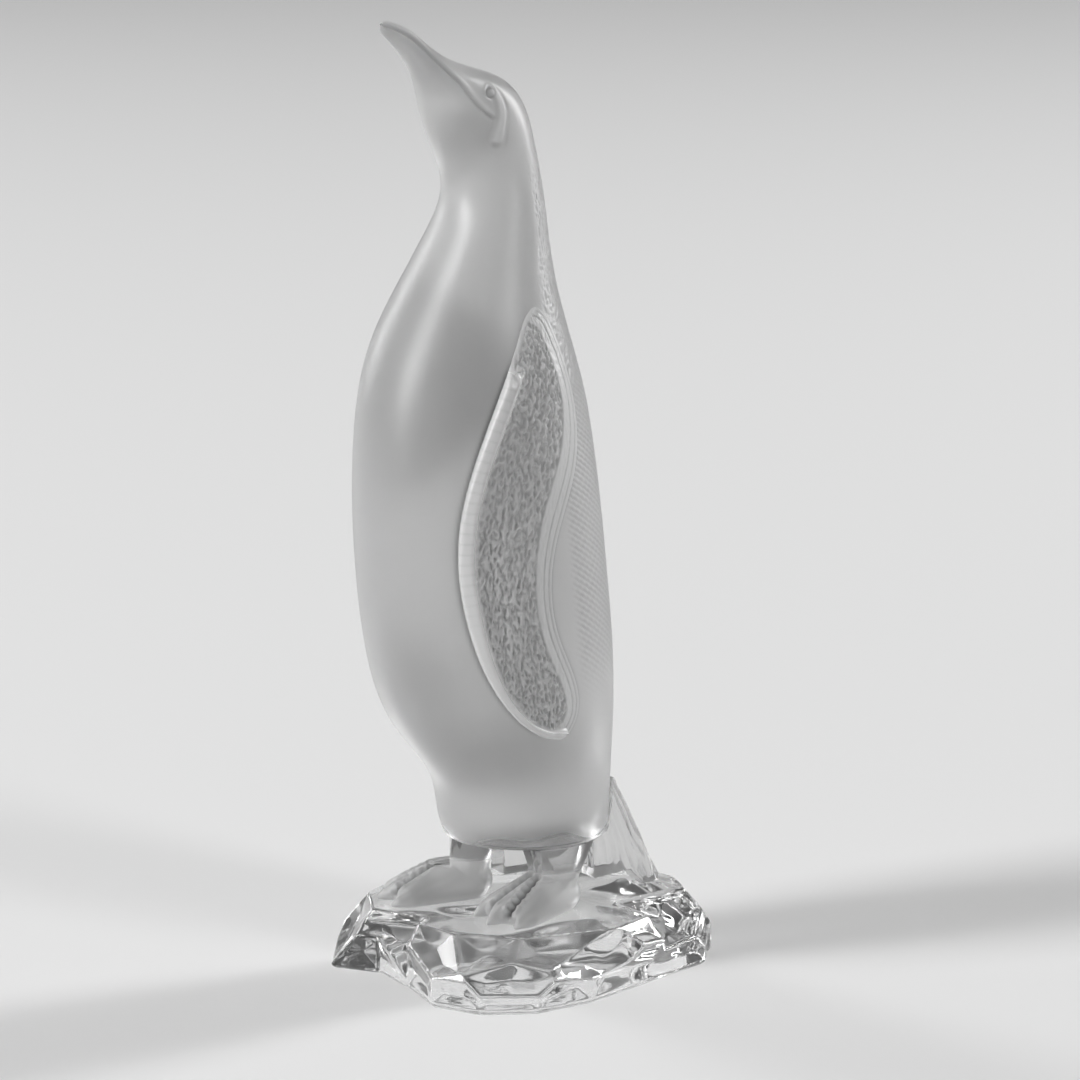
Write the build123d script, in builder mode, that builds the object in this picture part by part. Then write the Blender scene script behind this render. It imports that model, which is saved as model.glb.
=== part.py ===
from build123d import *
import os
from math import cos, radians, sin
from typing import NamedTuple

# Penguin figurine in bonded crystal: a frosted body on clear feet, a clear tail and a faceted ice base.
# Millimetres, +Z up, origin at the middle of the base's underside. The penguin faces -Y, its left is +X.

# Cured adhesive between two pieces of glass
BOND = 0.15

# Heights that the pieces are stacked to
ICE_HEIGHT = 15.5
HEM_HEIGHT = 33.0


class Section(NamedTuple):
    """A cross-section of the body: front and back points as (y, height above the hem)."""

    front: tuple[float, float]
    back: tuple[float, float]
    half_width: float


# Body: level sections from the hem over the belly to the neck, then turning up to the beak
BODY_SECTIONS = (
    Section((-20.0, 0.0), (22.0, 0.0), 19.5),
    Section((-22.3, 9.0), (22.4, 9.0), 20.4),
    Section((-24.0, 17.0), (22.6, 17.0), 21.5),
    Section((-27.4, 22.0), (22.7, 22.0), 23.0),
    Section((-33.3, 29.0), (22.7, 29.0), 25.7),
    Section((-37.6, 37.0), (22.5, 37.0), 27.7),
    Section((-41.1, 50.0), (21.7, 50.0), 28.9),
    Section((-43.4, 68.0), (20.0, 68.0), 29.2),
    Section((-44.3, 88.0), (17.8, 88.0), 28.8),
    Section((-43.7, 105.0), (15.4, 105.0), 27.4),
    Section((-41.2, 120.0), (12.3, 120.0), 24.9),
    Section((-37.1, 131.0), (9.1, 131.0), 21.2),
    Section((-32.2, 140.0), (6.8, 140.0), 17.7),
    Section((-27.4, 148.0), (5.5, 148.0), 15.2),
    Section((-23.3, 155.0), (4.8, 155.0), 13.0),
    Section((-21.0, 162.0), (4.0, 163.0), 11.6),
    Section((-21.8, 168.5), (2.7, 171.5), 11.2),
    Section((-23.3, 172.5), (1.2, 178.5), 11.3),
    Section((-24.7, 176.0), (-1.0, 185.0), 11.2),
    Section((-25.8, 179.5), (-5.4, 190.2), 10.5),
    Section((-26.6, 183.5), (-11.5, 193.0), 8.8),
    Section((-27.4, 187.2), (-18.0, 195.0), 6.4),
    Section((-28.9, 190.8), (-22.8, 197.2), 4.5),
    Section((-31.4, 195.0), (-27.1, 200.5), 3.3),
    Section((-34.5, 199.0), (-31.2, 203.7), 2.5),
    Section((-37.7, 202.7), (-35.6, 205.7), 1.7),
    Section((-39.5, 204.6), (-38.5, 206.2), 0.9),
)

# Even sections that the smooth body is lofted through
LOFT_SECTIONS = 40

# Flipper: outline as (y, height above the hem), shoulder to tip down the front and back up the rear
FLIPPER_SHOULDER = (-8.5, 142.5)
FLIPPER_TIP = (-2.0, 31.5)
FLIPPER_FRONT = ((-16.5, 127.0), (-25.5, 107.0), (-31.0, 85.0), (-28.5, 60.0), (-20.5, 42.0), (-9.0, 32.3))
FLIPPER_REAR = ((0.3, 37.0), (-6.3, 57.0), (-6.3, 83.0), (0.8, 100.0), (1.7, 113.0), (-1.8, 127.0))
FLIPPER_INSET = 4.0
FLIPPER_RIM = 2.8
FLIPPER_PANEL = 1.9
RIM_WIDTH = 3.6

# Foot: heel and toes in plan, heights above the sole, and how each one stands
HEEL_RADIUS = 5.8
TOE_REACH = 22.0
TOE_SPREAD = 7.0
TOE_SETBACK = 2.5
TOE_TIP_RADIUS = 1.9
TOE_HEIGHT = 3.0
INSTEP_HEIGHT = 12.0
ANKLE_RADIUS = 5.6
ANKLE_TOP_RADIUS = 6.4
LEFT_ANKLE = (12.0, 3.0)
LEFT_TURN = 12.0
RIGHT_ANKLE = (-9.0, -10.5)
RIGHT_TURN = -20.0

# Tail: a wedge from the back down to the ice, which only its tip touches, and a keel under the hem
TAIL_ROOT_HEIGHT = 13.0
TAIL_ROOT_Y = 15.5
TAIL_CREST_Y = 22.5
TAIL_TIP_Y = 38.0
TAIL_TIP_HEIGHT = 2.0
TAIL_PAD_LENGTH = 5.0
TAIL_GAP = 5.0
TAIL_ROOT_HALF_WIDTH = 9.5
TAIL_TIP_HALF_WIDTH = 4.0
KEEL_FRONT_Y = -8.0
KEEL_DEPTH = 9.0
KEEL_HALF_WIDTH = 5.0
KEEL_GAP = 0.8

# Ice base: the outline of its underside and the polished edge round it
ICE_OUTLINE = ((-16, -46), (-6, -38), (10, -38), (25, -40), (37, -33), (43, -20), (42, -4), (35, 17),
               (28, 37), (18, 45), (2, 48), (-14, 46), (-30, 38), (-41, 24), (-46, 6), (-44, -14),
               (-36, -28), (-26, -39))
ICE_EDGE = 0.8


class Facet(NamedTuple):
    """A flat face of the ice: the way it looks, its distance from the axis at the top, and its slope."""

    compass: float
    reach: float
    slope: float


class Notch(NamedTuple):
    """A step cut in the ice: a facet below the top, limited to a width about a middle."""

    facet: Facet
    depth: float
    middle: float
    width: float


# Compass angles: 0 looks ahead of the penguin and 90 to its left
FACETS = (
    Facet(-60, 37.0, 53), Facet(-24, 38.0, 53), Facet(14, 32.5, 32), Facet(30, 43.0, 62),
    Facet(48, 32.5, 22), Facet(66, 38.5, 50), Facet(80, 31.0, 26), Facet(98, 38.0, 58),
    Facet(114, 33.0, 42), Facet(135, 40.0, 60), Facet(165, 42.5, 55), Facet(195, 41.5, 50),
    Facet(228, 39.0, 42), Facet(250, 42.5, 64), Facet(264, 33.0, 30), Facet(284, 41.0, 60),
)
NOTCHES = (
    Notch(Facet(39, 22.0, 35), 3.5, -30.0, 26.0),
    Notch(Facet(100, 17.0, 18), 1.5, 30.0, 28.0),
    Notch(Facet(236, 27.0, 24), 2.5, 6.0, 24.0),
)


def half_skin(growth=0.0):
    """The left half of the body's form, lofted along smooth profiles and grown outward all round."""
    side = Vector(1, 0, 0)
    with BuildPart() as skin:
        for step in range(LOFT_SECTIONS):
            place = step / (LOFT_SECTIONS - 1)
            drop = Vector(0, 0, growth if step == 0 else 0)
            front = front_profile.position_at(place) - drop
            back = back_profile.position_at(place) - drop
            across = back - front
            wide = width_profile.position_at(place).X + growth
            deep = across.length / 2 + growth
            with BuildSketch(Plane(origin=(front + back) / 2, x_dir=side, z_dir=side.cross(across))):
                with BuildLine():
                    EllipticalCenterArc((0, 0), wide, deep, start_angle=-90, arc_size=180)
                    Line((0, deep), (0, -deep))
                make_face()
        loft()
    return skin.part


def body_skin(growth=0.0):
    """The whole body's form: both halves, joined at the middle."""
    with BuildPart() as skin:
        add(half_skin(growth))
        mirror(about=Plane.YZ)
    return skin.part


def flipper_prism(setback=0.0):
    """The left flipper's side outline, carried out sideways from inside the body."""
    corners = [(y + setback, HEM_HEIGHT + height) for y, height in (FLIPPER_SHOULDER, FLIPPER_TIP)]
    front = [(y + setback, HEM_HEIGHT + height) for y, height in FLIPPER_FRONT]
    rear = [(y + setback, HEM_HEIGHT + height) for y, height in FLIPPER_REAR]
    reach = 2 * max(section.half_width for section in BODY_SECTIONS)
    with BuildPart() as prism:
        with BuildSketch(Plane.YZ.offset(FLIPPER_INSET)):
            with BuildLine():
                Spline([corners[0], *front, corners[1]])
                Spline([corners[1], *rear, corners[0]])
            make_face()
        extrude(amount=reach)
    return prism.part


def foot(ankle, turn):
    """A foot with its ankle: a heel and three tapered toes, sloping from the instep to the tips."""
    along = Vector(cos(radians(turn)), sin(radians(turn)), 0)
    sole = Plane(origin=(*ankle, ICE_HEIGHT + BOND), x_dir=along, z_dir=(0, 0, 1))
    ankle_height = HEM_HEIGHT - ICE_HEIGHT - 2 * BOND
    instep_run = TOE_REACH - ANKLE_RADIUS
    instep_rise = INSTEP_HEIGHT - TOE_HEIGHT
    instep_start = sole.from_local_coords(Vector(0, -ANKLE_RADIUS, INSTEP_HEIGHT))
    instep_normal = sole.from_local_coords(Vector(0, -instep_rise, instep_run)) - sole.origin
    toes = ((-TOE_SPREAD, TOE_SETBACK), (0, 0), (TOE_SPREAD, TOE_SETBACK))
    with BuildPart() as piece:
        for sideways, setback in toes:
            with BuildSketch(sole):
                Circle(HEEL_RADIUS)
                with Locations((sideways, setback - TOE_REACH)):
                    Circle(TOE_TIP_RADIUS)
                make_hull()
            extrude(amount=INSTEP_HEIGHT)
        split(bisect_by=Plane(origin=instep_start, z_dir=instep_normal), keep=Keep.BOTTOM)
        with BuildSketch(sole):
            Circle(ANKLE_RADIUS)
        with BuildSketch(sole.offset(ankle_height)):
            Circle(ANKLE_TOP_RADIUS)
        loft()
    return piece.part


def facet_plane(facet, depth=0.0):
    """The plane of a facet: x along its top edge, y uphill, z out of the ice."""
    outward = Vector(sin(radians(facet.compass)), -cos(radians(facet.compass)), 0)
    edge = Vector(cos(radians(facet.compass)), sin(radians(facet.compass)), 0)
    top = outward * facet.reach + Vector(0, 0, ICE_HEIGHT - depth)
    normal = outward * sin(radians(facet.slope)) + Vector(0, 0, cos(radians(facet.slope)))
    return Plane(origin=top, x_dir=edge, z_dir=normal)


# Profile curves of the body, which share one scale along its middle line
fronts = [Vector(0, section.front[0], HEM_HEIGHT + section.front[1]) for section in BODY_SECTIONS]
backs = [Vector(0, section.back[0], HEM_HEIGHT + section.back[1]) for section in BODY_SECTIONS]
middles = [(front + back) / 2 for front, back in zip(fronts, backs)]
strides = [(above - below).length for below, above in zip(middles, middles[1:])]
places = [sum(strides[:index]) / sum(strides) for index in range(len(BODY_SECTIONS))]
widths = [Vector(section.half_width, 0, middle.Z) for section, middle in zip(BODY_SECTIONS, middles)]
front_profile = Edge.make_spline(fronts, parameters=places)
back_profile = Edge.make_spline(backs, parameters=places)
width_profile = Edge.make_spline(widths, parameters=places)

glass_skin = body_skin()
bond_skin = body_skin(BOND)
panel_skin = half_skin(BOND + FLIPPER_PANEL)
rim_skin = half_skin(BOND + FLIPPER_RIM)

# Body, with the neck, head and beak
with BuildPart() as body:
    add(glass_skin)
body.part.label = "body"

# Flippers: a raised rim along the front and a sunk panel behind it
with BuildPart() as left_flipper:
    add(rim_skin)
    add(flipper_prism(), mode=Mode.INTERSECT)
    add(bond_skin, mode=Mode.SUBTRACT)
    add(flipper_prism(RIM_WIDTH) - panel_skin, mode=Mode.SUBTRACT)
left_flipper.part.label = "left_flipper"

with BuildPart() as right_flipper:
    mirror(left_flipper.part, about=Plane.YZ)
right_flipper.part.label = "right_flipper"

with BuildPart() as flipper_bonds:
    add(bond_skin)
    add(flipper_prism(), mode=Mode.INTERSECT)
    add(glass_skin, mode=Mode.SUBTRACT)
    mirror(about=Plane.YZ)
flipper_bonds.part.label = "flipper_bonds"

# Feet, which carry the body on their ankles
with BuildPart() as left_foot:
    add(foot(LEFT_ANKLE, LEFT_TURN))
left_foot.part.label = "left_foot"

with BuildPart() as right_foot:
    add(foot(RIGHT_ANKLE, RIGHT_TURN))
right_foot.part.label = "right_foot"

with BuildPart() as ankle_bonds:
    for piece in (left_foot, right_foot):
        extrude(piece.faces().sort_by(Axis.Z)[-1], amount=BOND, dir=(0, 0, 1))
ankle_bonds.part.label = "ankle_bonds"

with BuildPart() as sole_bonds:
    for piece in (left_foot, right_foot):
        extrude(piece.faces().sort_by(Axis.Z)[0], amount=BOND, dir=(0, 0, -1))
sole_bonds.part.label = "sole_bonds"

# Tail: the wedge that its plan and its side profile share, with a keel that passes between the ankles
tail_floor = ICE_HEIGHT + BOND
tail_crest = HEM_HEIGHT + TAIL_ROOT_HEIGHT
pad_start = TAIL_TIP_Y - TAIL_PAD_LENGTH
with BuildPart() as tail_wedge:
    with BuildSketch():
        Polygon((-TAIL_ROOT_HALF_WIDTH, TAIL_ROOT_Y), (TAIL_ROOT_HALF_WIDTH, TAIL_ROOT_Y),
                (TAIL_TIP_HALF_WIDTH, TAIL_TIP_Y), (-TAIL_TIP_HALF_WIDTH, TAIL_TIP_Y), align=None)
    extrude(amount=tail_crest)
    with BuildSketch(Plane.YZ):
        Polygon((TAIL_ROOT_Y, tail_crest), (TAIL_ROOT_Y, tail_floor + TAIL_GAP),
                (pad_start - TAIL_GAP, tail_floor + TAIL_GAP),
                (pad_start, tail_floor), (TAIL_TIP_Y, tail_floor),
                (TAIL_TIP_Y, tail_floor + TAIL_TIP_HEIGHT), (TAIL_CREST_Y, tail_crest), align=None)
    extrude(amount=TAIL_ROOT_HALF_WIDTH, both=True, mode=Mode.INTERSECT)
    with BuildSketch(Plane.XY.offset(HEM_HEIGHT - KEEL_DEPTH)):
        with Locations((0, KEEL_FRONT_Y)):
            Rectangle(2 * KEEL_HALF_WIDTH, TAIL_CREST_Y - KEEL_FRONT_Y, align=(Align.CENTER, Align.MIN))
        with Locations(LEFT_ANKLE, RIGHT_ANKLE):
            Circle(ANKLE_TOP_RADIUS + KEEL_GAP, mode=Mode.SUBTRACT)
    extrude(amount=KEEL_DEPTH + BOND)

with BuildPart() as tail:
    add(tail_wedge.part)
    add(bond_skin, mode=Mode.SUBTRACT)
tail.part.label = "tail"

with BuildPart() as tail_bonds:
    add(bond_skin)
    add(tail_wedge.part, mode=Mode.INTERSECT)
    add(glass_skin, mode=Mode.SUBTRACT)
    extrude(tail.faces().sort_by(Axis.Z)[0], amount=BOND, dir=(0, 0, -1))
tail_bonds.part.label = "tail_bonds"

# Ice base: a block broken into facets and notches, with a flat underside to stand on
notch_reach = max(abs(place) for corner in ICE_OUTLINE for place in corner)
with BuildPart() as ice_base:
    with BuildSketch():
        Polygon(*ICE_OUTLINE, align=None)
    extrude(amount=ICE_HEIGHT)
    chamfer(ice_base.faces().sort_by(Axis.Z)[0].edges(), ICE_EDGE)
    for facet in FACETS:
        split(bisect_by=facet_plane(facet), keep=Keep.BOTTOM)
    for notch in NOTCHES:
        with BuildSketch(facet_plane(notch.facet, notch.depth)):
            with Locations((notch.middle, 0)):
                Rectangle(notch.width, notch_reach, align=(Align.CENTER, Align.MAX))
        extrude(amount=notch_reach, dir=(0, 0, 1), mode=Mode.SUBTRACT)
ice_base.part.label = "ice_base"

os.makedirs("parts", exist_ok=True)
for piece in (body, left_flipper, right_flipper, flipper_bonds, left_foot, right_foot, ankle_bonds,
              sole_bonds, tail, tail_bonds, ice_base):
    export_step(piece.part, f"parts/{piece.part.label}.step")
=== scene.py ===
from math import cos, pi, radians, sin

import bmesh
import bpy
import numpy as np
from mathutils import Matrix, Vector, noise
from mathutils.bvhtree import BVHTree
from mathutils.kdtree import KDTree


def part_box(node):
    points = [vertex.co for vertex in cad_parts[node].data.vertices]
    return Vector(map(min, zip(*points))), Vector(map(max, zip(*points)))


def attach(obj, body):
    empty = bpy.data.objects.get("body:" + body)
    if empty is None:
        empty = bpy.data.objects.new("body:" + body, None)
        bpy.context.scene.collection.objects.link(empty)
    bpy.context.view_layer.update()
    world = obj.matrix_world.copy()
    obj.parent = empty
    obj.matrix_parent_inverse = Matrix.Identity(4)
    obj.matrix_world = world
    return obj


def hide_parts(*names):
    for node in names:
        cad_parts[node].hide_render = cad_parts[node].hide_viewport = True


# Penguin figurine in frosted and clear crystal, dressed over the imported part.
# Shapes are worked in millimetres, in the part's frame: +Z up, the penguin faces -Y, its left is +X.
# A pair named ZONE, STEP, START, END or EDGE is where a smooth change begins and where it is complete.
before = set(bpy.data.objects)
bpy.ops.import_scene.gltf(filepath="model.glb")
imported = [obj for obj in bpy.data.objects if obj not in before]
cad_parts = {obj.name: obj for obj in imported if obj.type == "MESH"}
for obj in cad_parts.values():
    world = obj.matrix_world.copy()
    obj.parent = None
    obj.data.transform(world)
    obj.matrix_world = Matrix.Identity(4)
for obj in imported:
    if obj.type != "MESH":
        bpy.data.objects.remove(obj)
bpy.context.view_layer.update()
MM = 0.001

# Heights that pieces share, and the film of adhesive between them
HEM = 33.0
SOLE = 15.65
BOND = 0.15

# Body: its middle line as (y, z, tilt in degrees), and how close its rings lie up to each length of it
SPINE = ((1.0, 33.0, 0), (-0.7, 50.0, 0), (-5.3, 62.0, 0), (-9.7, 83.0, 0), (-13.25, 121.0, 0),
         (-14.4, 153.0, 0), (-12.7, 173.0, 0), (-9.3, 188.0, 0), (-8.5, 195.5, 2.3), (-9.5, 203.0, 7.0),
         (-11.0, 208.5, 13.8), (-12.8, 213.5, 20.8), (-15.6, 217.9, 27.7), (-19.0, 221.3, 32.2),
         (-22.7, 224.1, 39.7), (-25.9, 227.0, 46.4), (-29.3, 230.8, 52.0), (-32.9, 234.4, 54.9),
         (-36.7, 237.2, 55.0), (-39.0, 238.4, 58.0))
RING_STEPS = ((6.0, 0.25), (45.0, 0.6), (168.0, 0.36))
HEAD_STEP = 0.22
TIP_STEP = 0.1
FIRST_RING = 0.05
LAST_RING_GAP = 0.04
RING_SEGMENTS = 360
BACK_CROWDING = 0.45
SKIN_SMOOTHING = 50
TIP_ROUND = 1.5

# Hem: its rounded edge, and the clear glass under the frosting, whose border waves as (rise, waves, phase)
HEM_ROUND = 1.8
HEM_CLEAR = 5.0
HEM_POLISH = 0.9
HEM_WAVES = ((1.2, 3, 1.0), (0.8, 7, 0.0))

# Mouth line, as (y, z) on both sides of the head, with a lip over it and painted shade in its cut
HEAD_ZONE = (205.0, 211.0)
MOUTH_LINE = ((-38.9, 238.5), (-36.3, 237.7), (-32.2, 235.3), (-28.5, 231.7), (-25.0, 227.3),
              (-21.7, 223.1), (-19.2, 219.4), (-15.1, 215.8), (-12.8, 214.9))
MOUTH_FADE = 3.0
MOUTH_CUT = 0.5
MOUTH_WIDTH = 0.32
MOUTH_SHADE = 0.35
MOUTH_SHADE_WIDTH = 0.4
LIP_RISE = 0.3
LIP_PLACE = 0.8
LIP_WIDTH = 0.6

# Cheek stripe behind the eye, as (y, z), with a cut round it, placed in stripe widths, and a cheek darkened
# round it with painted shade
CHEEK_STRIPE = ((-14.0, 221.8), (-12.6, 220.9), (-11.9, 218.8), (-11.6, 216.0), (-12.5, 212.9),
                (-13.1, 210.3))
STRIPE_RISE = 0.55
STRIPE_WIDTH = 0.85
STRIPE_WIDENING = 0.5
STRIPE_CUT = 0.12
STRIPE_CUT_PLACE = 1.7
STRIPE_CUT_WIDTH = 0.5
CHEEK_SHADE = 0.4
CHEEK_REACH = 4.5

# Eye, as (y, z): a bead, the ring cut round it with painted shade in it, and the brow above
EYE = (-14.4, 221.6)
BEAD_RISE = 0.45
BEAD_WIDTH = 0.6
SOCKET_RADIUS = 1.05
SOCKET_CUT = 0.3
SOCKET_WIDTH = 0.3
SOCKET_SHADE = 0.4
BROW_RADIUS = 1.7
BROW_RISE = 0.25
BROW_WIDTH = 0.4
BROW_ZONE = (EYE[1] - 0.5, EYE[1] + 1.0)

# Feather rows: pitch, climb away from the spine, relief, painted shade in the troughs, and the degrees and
# heights that they fill
ROW_PITCH = 1.65
ROW_CLIMB = 0.63
ROW_RELIEF = 0.26
ROW_CROWN = 1.25
ROW_SINK = 0.7
ROW_SHADE = 0.55
SCALLOP_PITCH = 1.15 * ROW_PITCH
SCALLOP_RISE = 0.4
BACK_EDGE = (64.0, 72.0)
ROW_START = (68.0, 90.0)
ROW_END = (144.0, 158.0)

# Stipple on the nape, above the rows, with painted shade in its pits
NAPE_START = (142.0, 156.0)
NAPE_END = (196.0, 206.0)
NAPE_GRAIN = (0.7, 0.7, 1.0)
NAPE_SEED = 3.0
NAPE_PIT_STEP = (0.0, 0.3)
NAPE_PIT_DEPTH = 0.13
NAPE_SHADE = 0.2

# Flippers: their grid, their seat on the body, and their shoulder, which ends lower than the CAD's
FLIPPER_ROWS = 440
FLIPPER_COLUMNS = 128
FLIPPER_CROWDING = 0.13
FLIPPER_MARGIN = 0.001
FLIPPER_SMOOTHING = 12
FLIPPER_PATH_STEP = 6
FLIPPER_EDGE_HEIGHT = 0.3
SHOULDER_HEIGHT = 0.6
SHOULDER_CUT = 5.0
SHOULDER_ROUND = 3.5
FAR_LEFT = 90.0

# Flipper rim along the front, notched, with painted shade in the notches, and the plain edge that follows
# where it has ended
RIM_HEIGHT = 2.6
RIM_WIDTH = 3.6
RIM_TIP_WIDTH = 2.0
RIM_WIDENING_ZONE = (66.0, 100.0)
RIM_TOP = 158.0
RIM_END = (RIM_TOP - 6, RIM_TOP + 1)
RIM_STEP = (-0.5, 0.0)
NOTCH_PITCH = 2.6
NOTCH_DEPTH = 0.06
NOTCH_SHADE = 0.12
NOTCH_ZONE = (88.0, 110.0)
PLAIN_EDGE = (0.0, 2.5)

# Flipper panel, sunk and stippled with pits that have finer pits in them, and darkened with painted shade,
# most in the pits
PANEL_HEIGHT = 1.25
PANEL_THINNING = RIM_TOP - 12
PANEL_STEP = (-0.2, 0.6)
PANEL_TOP_STEP = (0.4, 1.6)
PANEL_SHADE = 0.17
STIPPLE = 0.9
STIPPLE_SIZE = np.array((0.6, 0.6, 1.3))
STIPPLE_SEED = 11.0
FINE_STIPPLE = 0.4
FINE_STIPPLE_SEED = 23.0
STIPPLE_STEP = (-0.45, 0.6)
STIPPLE_SHADE = 0.28

# Flipper rear: a smooth band, wider round one height, with lines at shares of its width, which hold painted
# shade
REAR_BAND = 4.6
REAR_BULGE = 2.6
REAR_BULGE_HEIGHT = 130.0
REAR_BULGE_REACH = 18.0
REAR_STEP = (-0.5, 0.6)
REAR_CALM = 0.9
REAR_HEIGHT = 0.4
REAR_SLOPE = 1.0
REAR_TAPER = 1.0
REAR_LINES = (0.18, 0.5, 1.0)
REAR_LINE_DEPTH = 0.15
REAR_LINE_WIDTH = 0.25
REAR_LINE_SHADE = 0.25

# Painted shade along the creases where the flippers meet the body
FRONT_CREASE_SHADE = 0.9
REAR_CREASE_SHADE = 0.55
CREASE_WIDTH = 0.6
CREASE_END = (RIM_TOP - 3, RIM_TOP + 2)

# Feet: balls as (x, y, z, radius) over the sole, toes as (sideways, setback), each with three balls as
# (spread, y, z, radius), and where each foot stands as (x, y, turn)
ANKLE_TOP = HEM - SOLE - BOND
COLLAR = (0, 0.3, ANKLE_TOP + 4.0, 10.0)
ANKLE = (0, -0.4, ANKLE_TOP - 5.0, 6.6)
INSTEP = (0, -1.6, 6.4, 6.0)
HEEL = (0, 0.6, 4.2, 5.6)
TOES = ((-7.2, 2.4), (0.0, 0.0), (7.2, 2.4))
TOE_BALLS = ((0.97, -17.6, 2.2, 2.6), (1.02, -21.0, 1.4, 1.5), (1.05, -22.8, 0.7, 0.6))
FOOT_STANDS = {"left_foot": (12.0, 3.0, 12.0), "right_foot": (-9.0, -10.5, -20.0)}
FOOT_GRAIN = 0.3
FOOT_RELAXING = 8

# Toothed grooves on both sides of the middle toe, as (sideways, y), with a lip along them, and painted
# shade in the grooves and on the web's top, but not on the lip
TOE_GROOVES = ((1.4, -8.0), (2.4, -13.0), (3.9, -21.5))
SERRATION = 2.0
GROOVE_DEPTH = 1.4
GROOVE_WIDTH = 0.45
TOOTH_WIDTH = 0.7
GROOVE_SHADE = 0.8
GROOVE_LIP_RISE = 0.6
GROOVE_LIP_PLACE = 1.7
GROOVE_LIP_WIDTH = 0.6
GROOVE_LIP_LEAST = 0.4
WEB_ZONE = (0.8, 2.4)
WEB_SHADE = 0.22

# Ankles, clear above the instep and free there of the foot's painted shade, and kept within the hem from
# this height over the sole
ANKLE_LOW = 9.0
ANKLE_SHADE_END = (SOLE + 8, SOLE + 12)
ANKLE_CLEAR_ZONE = (SOLE + 9, SOLE + 14)
ANKLE_POLISH = 0.8

# Tail: the point (y, z) that its feathers fan from, the degrees between them, their depth and waver
TAIL_GRAIN = 0.4
TAIL_RELAXING = 8
TAIL_FAN = (14.0, 58.0)
TAIL_FEATHERS = 4.0
TAIL_RELIEF = 0.3
TAIL_WAVER = 1.5
TAIL_WAVER_SIZE = (4.0, 5.0, 9.0)
TAIL_SEED = 7.0
TAIL_WEDGE_ZONE = (19.0, 22.0)
TAIL_FACING_STEP = (-0.6, -0.2)
TAIL_SATIN = 0.7
TAIL_FEATHER_GLOSS = 0.4

# Ice: facets dished between their ridges, a ledge round the top, and a satin top that faces up
ICE_GRAIN = 0.5
ICE_RELAXING = 4
ICE_DISH = 0.9
ICE_DISH_REACH = 7.0
ICE_LEVEL_STEP = (0.94, 0.99)
ICE_TOP_STEP = (0.93, 0.99)
ICE_TOP_SATIN = 0.45
RIDGE_ANGLE = 8.0
RIDGE_SPACING = 0.4
ICE_LEDGE = ((30, -34), (34, -14), (40, 4), (33, 20), (14, 34), (-14, 32), (-30, 18), (-30, -8),
             (-24, -34), (0, -42), (30, -34))
ICE_LEDGE_DROP = 0.9
ICE_LEDGE_STEP = (-0.6, 0.6)

# Hollows in the ice's top as (x, y, reach, depth), with a wavering outline, and none where a foot treads
ICE_HOLLOWS = ((29, -26, 17, 1.8), (36, -4, 15, 1.6), (31, 20, 16, 1.8), (8, -40, 16, 1.6),
               (2, -16, 10, 1.2), (10, 26, 14, 1.4), (-12, 18, 15, 1.6), (-28, 8, 15, 1.6),
               (-30, -16, 14, 1.6), (-18, -40, 14, 1.6))
HOLLOW_WAVER = 3.5
HOLLOW_WAVER_SIZE = (10, 10, 10)
HOLLOW_SEEDS = (5, 9)
TREAD_LENGTH = 22.0
TREAD_EDGE = (8.0, 13.0)

# Scoops broken out of the ice's sides as (start, end, radius)
ICE_SCOOPS = (((50, -14, 17), (45, 10, 17), 12.0),
              ((26, 46, 0), (28, 49, 22), 7.0),
              ((12, 52, 0), (12, 55, 22), 7.0),
              ((-50, -4, 20), (-48, 16, 20), 14.0),
              ((-36, -42, 18), (-46, -26, 18), 12.0))
SCOOP_FINENESS = 5

# CAD meshes: points this close are one, and faces this many degrees apart are one
WELD_GAP = 0.001
FLAT_ANGLE = 1.0

# Crystal: its colours, how deep light wanders in milk, and the clouds and the grain of its frosting
MILK = (0.68, 0.68, 0.68)
PALE = (0.8, 0.8, 0.8)
WHITE = (0.9, 0.9, 0.9)
# The grey and the dark are the colours that painted shade darkens the crystal toward
PAINTED_SHADE_GREY = (0.2, 0.2, 0.2)
PAINTED_SHADE_DARK = (0.1, 0.1, 0.1)
CLEAR = (0.97, 0.975, 0.975)
REFRACTION = 1.52
MILK_DEPTH = 6.0
SHEEN_ROUGHNESS = 0.35
CLOUDS_PER_METRE = 60.0
CLOUD_DETAIL = 4.0
CLOUD_DARK = 0.96
CLOUD_BRIGHT = 1.03
CLOUD_ROUGHNESS = (0.85, 1.15)
GRAIN_DETAIL = 3.0
GRAIN_STRENGTH = 0.6

# Floor, in metres, with a hair of air under the ice, so that the ice's underside mirrors
FLOOR = -0.3 * MM
FLOOR_REACH = 12.0
FLOOR_GREY = 0.76

# Sky: brighter along the horizon than overhead
SKY_LOW = 0.3
SKY_HIGH = 0.05
SKY_BAND = (0.05, 0.6)

# Lamps as (azimuth, elevation, distance, width, height, power), in degrees, metres and watts
LAMPS = {"key_left": (-8, 25, 3.0, 0.6, 2.3, 84.0),
         "rim_left": (-72, 22, 3.0, 0.6, 2.2, 28.0),
         "rim_right": (180, 25, 3.0, 0.45, 2.3, 60.0),
         "side_right": (110, 30, 3.0, 0.5, 1.8, 22.0),
         "overhead": (240, 80, 4.0, 2.5, 2.5, 6.0)}

# Aim of the lamps and the camera, and the camera as the photograph needs it, in metres and degrees
AIM = Vector((0, 0, 0.12))
CAMERA_AZIMUTH = 60
CAMERA_ELEVATION = 12.5
CAMERA_DISTANCE = 1.25
CAMERA_RIGHT = 0.004455
CAMERA_DOWN = 0.011634
CAMERA_LENS = 168.33
CAMERA_SENSOR = 36


# Fields and grids

def coordinates(mesh):
    """A mesh's vertices as an array, in millimetres."""
    flat = np.empty(len(mesh.vertices) * 3)
    mesh.vertices.foreach_get("co", flat)
    return flat.reshape(-1, 3) / MM


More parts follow.
